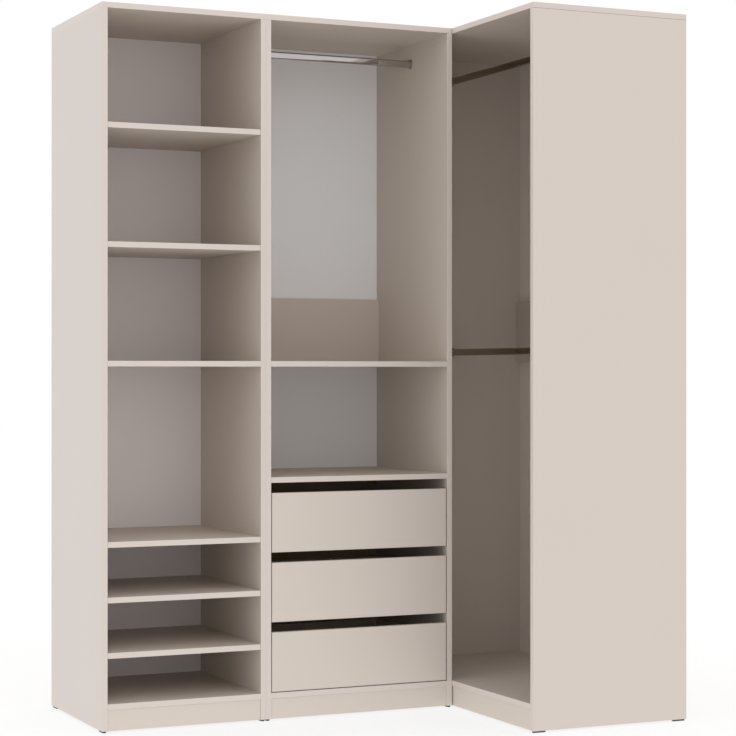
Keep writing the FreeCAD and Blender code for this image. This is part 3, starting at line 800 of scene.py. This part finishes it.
def box_screws(number):
    """Two screws through each side of a drawer box into the ends of its back."""
    low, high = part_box(f"drawer_{number}_back")
    middle = (low + high) / 2
    places = []
    for side, sign in (("left", -1.0), ("right", 1.0)):
        side_low, side_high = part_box(f"drawer_{number}_{side}_side")
        face = side_low.x if sign < 0 else side_high.x
        for rise in BOX_SCREW_RISES:
            places.append((Vector((face, middle.y, low.z + (high.z - low.z) * rise)), unit(X, sign)))
    return places


def panel_nails(node, axis, sizes):
    """Nails round the rear face of a back panel that faces along X or Y."""
    low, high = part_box(node)
    across = Y if axis == X else X
    lines = []
    for side in (across, Z):
        first, last = low[side] + sizes.nail_inset, high[side] - sizes.nail_inset
        lines.append(steps(first, last, 1 + round((last - first) / sizes.nail_pitch)))
    columns, rows = lines
    spots = [(column, row) for column in columns for row in (rows[0], rows[-1])]
    spots += [(column, row) for column in (columns[0], columns[-1]) for row in rows[1:-1]]
    places = []
    for column, row in spots:
        point = high.copy()
        point[across] = column
        point.z = row
        places.append((point, unit(axis, 1.0)))
    return places


# What the boards show


def carcass_boards():
    """The boards that aren't part of a drawer."""
    drawers = tuple(f"drawer_{number}_" for number in DRAWERS)
    return [node for node in nodes_with("melamine_board") if not node.startswith(drawers)]


def face_tone(node, board):
    """The colour of a carcass board's faces, with painted light and shade: a lighter copy for the plinths, a
    cooler one for the left outer side and a warmer one for the left and middle modules.
    """
    if node.endswith("_plinth"):
        return tuple(board.lit_front_face)
    if node == "left_outer_side":
        return tuple(board.lit_side_face)
    return tuple(board.face if node.startswith(CORNER_MODULE) else board.inner_shade_face)


def lit_band_tone(board):
    """The colour of the edge bands: the face colour made lighter, painted light on the front edges."""
    return tinted(board.face, board.band_light_tint)


def edge_at(axis, corner, tone):
    """An edge at a corner of a board's box, as an axis, a coordinate and the tone of its band."""
    return (axis, round(corner[axis], EDGE_DECIMALS), tone)


def shown_edges(node, axis, board):
    """The edges of a carcass board that have a band."""
    low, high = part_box(node)
    if node.endswith("_plinth"):
        return ()
    if node.endswith("_stretcher"):
        return (edge_at(Z, low, lit_band_tone(board)), edge_at(Z, high, lit_band_tone(board)))
    front = edge_at(axis, low, lit_band_tone(board))
    if node == "left_top":
        # The left top's left edge band takes the left side's copy of the colour: painted light
        return (edge_at(X, low, tuple(board.lit_side_face)), front)
    return (front,)


def bare_edges(node, axis):
    """The cut edges of a carcass board, as axes and the ways that they face."""
    bare = []
    if node.endswith(("_side", "_top")):
        bare.append((axis, 1))
    if node.endswith(("_side", "_plinth")):
        bare.append((Z, -1))
    return tuple(bare)


def board_joint_shades(node, board):
    """The lines of painted shade on a carcass board where it meets another board, as axes, coordinates and
    widths.
    """
    joint_shades = []
    if node in ("corner_end_side", "corner_top"):
        joint_shades.append((Z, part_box("corner_top")[0].z, board.joint))
    if node == "middle_top":
        joint_shades.append((X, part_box(node)[1].x, board.groove_shade))
    return tuple(joint_shades)


# Operators, one for each group of like pieces


class WARDROBE_OT_boards(Operator):
    """Finish the sides, tops, bottoms, plinths, shelves and stretchers."""

    bl_idname = "wardrobe.boards"
    bl_label = "Finish Boards"

    def execute(self, context):
        board = context.scene.wardrobe_boards
        made = {}
        for node in carcass_boards():
            axis = X if node.startswith(CORNER_MODULE) else Y
            look = (face_tone(node, board), shown_edges(node, axis, board), bare_edges(node, axis),
                    board_joint_shades(node, board))
            if look not in made:
                made[look] = melamine(*look)
            dress([node], made[look])
        return {"FINISHED"}


class WARDROBE_OT_drawers(Operator):
    """Finish the drawer fronts and the boards of the drawer boxes."""

    bl_idname = "wardrobe.drawers"
    bl_label = "Finish Drawers"

    def execute(self, context):
        board = context.scene.wardrobe_boards
        band = lit_band_tone(board)
        for number in DRAWERS:
            front = f"drawer_{number}_front"
            edges = [edge_at(axis, corner, band) for axis in (X, Z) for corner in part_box(front)]
            # Drawer fronts take the lighter copy of the board colour: painted light
            dress([front], melamine(board.lit_front_face, edges, [], []))
            box_boards = [f"drawer_{number}_{side}" for side in ("left_side", "right_side", "back")]
            top_edge = edge_at(Z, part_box(box_boards[0])[1], band)
            # The drawer box boards take the warmer copy of the board colour: painted shade
            dress(box_boards, melamine(board.inner_shade_face, [top_edge], [(Z, -1)], []))
        return {"FINISHED"}


class WARDROBE_OT_panels(Operator):
    """Finish the back panels and the drawer bottoms."""

    bl_idname = "wardrobe.panels"
    bl_label = "Finish Panels"

    def execute(self, context):
        panel = context.scene.wardrobe_panels
        over_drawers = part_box(COVER_SHELF)[0].z
        # Each back panel takes its module's copy of the lacquer: painted light and shade
        dress(["left_back"], lacquered_panel(panel.lacquer, Y, 1))
        dress(["middle_back"], lacquered_panel(panel.middle_painted_light_lacquer, Y, 1, over_drawers))
        dress(["corner_back"], lacquered_panel(panel.corner_painted_light_lacquer, X, 1))
        beige = context.scene.wardrobe_boards.face
        dress([f"drawer_{number}_bottom" for number in DRAWERS], lacquered_panel(beige, Z, -1))
        return {"FINISHED"}


class WARDROBE_OT_rails(Operator):
    """Finish the hanging rails and their sockets."""

    bl_idname = "wardrobe.rails"
    bl_label = "Finish Rails"

    def execute(self, context):
        metal = context.scene.wardrobe_metals
        drawn, cast = metal.line_scale, metal.cast_scale
        dress(["middle_rail"], chrome("chrome_along_x", metal.chrome, (drawn, 1.0, 1.0)))
        # The corner rails take the darker chrome: a painted reflection of the dark interior
        dress(["corner_upper_rail", "corner_lower_rail"],
              chrome("chrome_along_y", metal.shaded_corner_chrome, (1.0, drawn, 1.0)))
        # The sockets take the darker chrome: painted shade
        dress(["rail_sockets"], chrome("chrome_cast", metal.shaded_socket_chrome, (cast, cast, cast)))
        return {"FINISHED"}


class WARDROBE_OT_runners(Operator):
    """Finish the runner profiles and their rollers."""

    bl_idname = "wardrobe.runners"
    bl_label = "Finish Runners"

    def execute(self, context):
        plastic = context.scene.wardrobe_plastics
        dress(nodes_with("runner_steel"), coated_steel())
        dress(nodes_with("roller_plastic"),
              moulded_plastic("roller_plastic", plastic.roller, plastic.roller_roughness))
        return {"FINISHED"}


class WARDROBE_OT_fittings(Operator):
    """Finish the cams, the shelf pins and the foot glides."""

    bl_idname = "wardrobe.fittings"
    bl_label = "Finish Fittings"

    def execute(self, context):
        plastic = context.scene.wardrobe_plastics
        dress(nodes_with("fitting_zinc"), zinc())
        dress(nodes_with("glide_plastic"),
              moulded_plastic("glide_plastic", plastic.glide, plastic.glide_roughness))
        return {"FINISHED"}


class WARDROBE_OT_cover_caps(Operator):
    """Put a cover cap on each cam that shows."""

    bl_idname = "wardrobe.cover_caps"
    bl_label = "Make Cover Caps"

    def execute(self, context):
        sizes = context.scene.wardrobe_fittings
        plastic = context.scene.wardrobe_plastics
        tone = tinted(context.scene.wardrobe_boards.face, plastic.cap_tint)
        caps = {"Radius": sizes.cap_radius, "Height": sizes.cap_height,
                "Material": moulded_plastic("cap_plastic", tone, plastic.cap_roughness)}
        fit_heads("cam_cover_caps", "carcass", cam_faces(), cap_tree(), caps)
        return {"FINISHED"}


class WARDROBE_OT_screws(Operator):
    """Put the screws on the runners and on the drawer boxes."""

    bl_idname = "wardrobe.screws"
    bl_label = "Make Screws"

    def execute(self, context):
        sizes = context.scene.wardrobe_fittings
        tree = screw_tree()
        heads = {"Radius": sizes.screw_radius, "Height": sizes.screw_height,
                 "Slot Length": sizes.slot_length, "Slot Width": sizes.slot_width, "Material": zinc()}
        places = runner_screws("runner_carcass_profiles", sizes, on_drawer=False)
        fit_heads("carcass_runner_screws", "carcass", places, tree, heads)
        for number in DRAWERS:
            places = runner_screws(f"drawer_{number}_runner_profiles", sizes, on_drawer=True)
            fit_heads(f"drawer_{number}_screws", f"drawer_{number}", places + box_screws(number),
                      tree, heads)
        return {"FINISHED"}


class WARDROBE_OT_nails(Operator):
    """Put the nails round the back panels."""

    bl_idname = "wardrobe.nails"
    bl_label = "Make Nails"

    def execute(self, context):
        sizes = context.scene.wardrobe_fittings
        nails = {"Radius": sizes.nail_radius, "Height": sizes.nail_height, "Material": zinc()}
        places = [place for node, axis in (("left_back", Y), ("middle_back", Y), ("corner_back", X))
                  for place in panel_nails(node, axis, sizes)]
        fit_heads("back_panel_nails", "carcass", places, nail_tree(), nails)
        return {"FINISHED"}


# Stage


def white_to_the_eye(graph):
    """1 for rays that show the background, directly, in a reflection or through glass, and else 0."""
    path = graph.node("ShaderNodeLightPath", output="Is Camera Ray")
    return path.most(path.part("Is Glossy Ray")).most(path.part("Is Transmission Ray"))


def make_floor(stage):
    """A pale floor that keeps its shadow and is white where nothing shades it."""
    half = stage.floor_size / 2
    corners = [(-half, -half, 0.0), (half, -half, 0.0), (half, half, 0.0), (-half, half, 0.0)]
    mesh = bpy.data.meshes.new("floor")
    mesh.from_pydata(corners, [], [(0, 1, 2, 3)])
    floor = bpy.data.objects.new("floor", mesh)
    bpy.context.scene.collection.objects.link(floor)
    material = bpy.data.materials.new("floor_paint")
    graph = Graph(emptied(material))
    paint = graph.node("ShaderNodeBsdfDiffuse", inputs={"Color": opaque(stage.floor)})
    glow = graph.node("ShaderNodeEmission", inputs={"Color": opaque(stage.floor)})
    shown = graph.node("ShaderNodeMixShader", inputs={0: stage.shadow, 1: glow, 2: paint})
    clear = graph.node("ShaderNodeBsdfTransparent")
    both = graph.node("ShaderNodeMixShader", inputs={0: white_to_the_eye(graph), 1: clear, 2: shown})
    graph.node("ShaderNodeOutputMaterial", inputs={"Surface": both})
    mesh.materials.append(material)


def make_sky(stage):
    """Soft light from all round, strongest from the right front and the left rear, and white to the eye."""
    world = bpy.data.worlds.new("studio")
    graph = Graph(emptied(world))
    way = graph.node("ShaderNodeTexCoord", output="Generated")
    axes = graph.node("ShaderNodeSeparateXYZ", inputs={"Vector": way})
    aside = axes.part("X") - axes.part("Y")
    level = stage.sky + aside * aside * (stage.sides / 2) + axes.part("Z").least(0.0) * stage.underfoot
    light = graph.node("ShaderNodeBackground", inputs={"Color": opaque(WHITE), "Strength": level})
    white = graph.node("ShaderNodeBackground", inputs={"Color": opaque(WHITE), "Strength": 1.0})
    both = graph.node("ShaderNodeMixShader", inputs={0: white_to_the_eye(graph), 1: light, 2: white})
    graph.node("ShaderNodeOutputWorld", inputs={"Surface": both})
    bpy.context.scene.world = world


def make_camera(stage):
    """The camera at the place and with the view of the photograph."""
    data = bpy.data.cameras.new("camera")
    data.sensor_width = SENSOR_WIDTH
    data.lens = stage.camera_lens
    camera = bpy.data.objects.new("camera", data)
    camera.location = stage.camera_place
    camera.rotation_euler = (math.pi / 2 + stage.camera_tilt, 0.0, -stage.camera_turn)
    bpy.context.scene.collection.objects.link(camera)
    bpy.context.scene.camera = camera


class WARDROBE_OT_stage(Operator):
    """Set up the floor, the light and the camera."""

    bl_idname = "wardrobe.stage"
    bl_label = "Set Stage"

    def execute(self, context):
        stage = context.scene.wardrobe_stage
        context.scene.view_settings.view_transform = "Standard"
        make_floor(stage)
        make_sky(stage)
        make_camera(stage)
        return {"FINISHED"}


SETTINGS = {
    "wardrobe_boards": BoardSettings,
    "wardrobe_panels": PanelSettings,
    "wardrobe_metals": MetalSettings,
    "wardrobe_plastics": PlasticSettings,
    "wardrobe_fittings": FittingSizes,
    "wardrobe_stage": StageSettings,
}

OPERATORS = (
    WARDROBE_OT_boards,
    WARDROBE_OT_drawers,
    WARDROBE_OT_panels,
    WARDROBE_OT_rails,
    WARDROBE_OT_runners,
    WARDROBE_OT_fittings,
    WARDROBE_OT_cover_caps,
    WARDROBE_OT_screws,
    WARDROBE_OT_nails,
    WARDROBE_OT_stage,
)


class WARDROBE_PT_steps(Panel):
    """The steps that dress the wardrobe, in their order, and the settings that they read."""

    bl_idname = "WARDROBE_PT_steps"
    bl_label = "Corner Wardrobe"
    bl_space_type = "VIEW_3D"
    bl_region_type = "UI"
    bl_category = "Wardrobe"

    def draw(self, context):
        for operator in OPERATORS:
            self.layout.operator(operator.bl_idname)
        for name, group in SETTINGS.items():
            box = self.layout.box()
            for setting in group.__annotations__:
                box.prop(getattr(context.scene, name), setting)


CLASSES = (*SETTINGS.values(), *OPERATORS, WARDROBE_PT_steps)


def register():
    for item in CLASSES:
        bpy.utils.register_class(item)
    for name, group in SETTINGS.items():
        setattr(bpy.types.Scene, name, PointerProperty(type=group))


def unregister():
    for name in SETTINGS:
        delattr(bpy.types.Scene, name)
    for item in reversed(CLASSES):
        bpy.utils.unregister_class(item)


def main():
    register()
    bpy.ops.wardrobe.boards()
    bpy.ops.wardrobe.drawers()
    bpy.ops.wardrobe.panels()
    bpy.ops.wardrobe.rails()
    bpy.ops.wardrobe.runners()
    bpy.ops.wardrobe.fittings()
    bpy.ops.wardrobe.cover_caps()
    bpy.ops.wardrobe.screws()
    bpy.ops.wardrobe.nails()
    bpy.ops.wardrobe.stage()


if __name__ == "__main__":
    main()
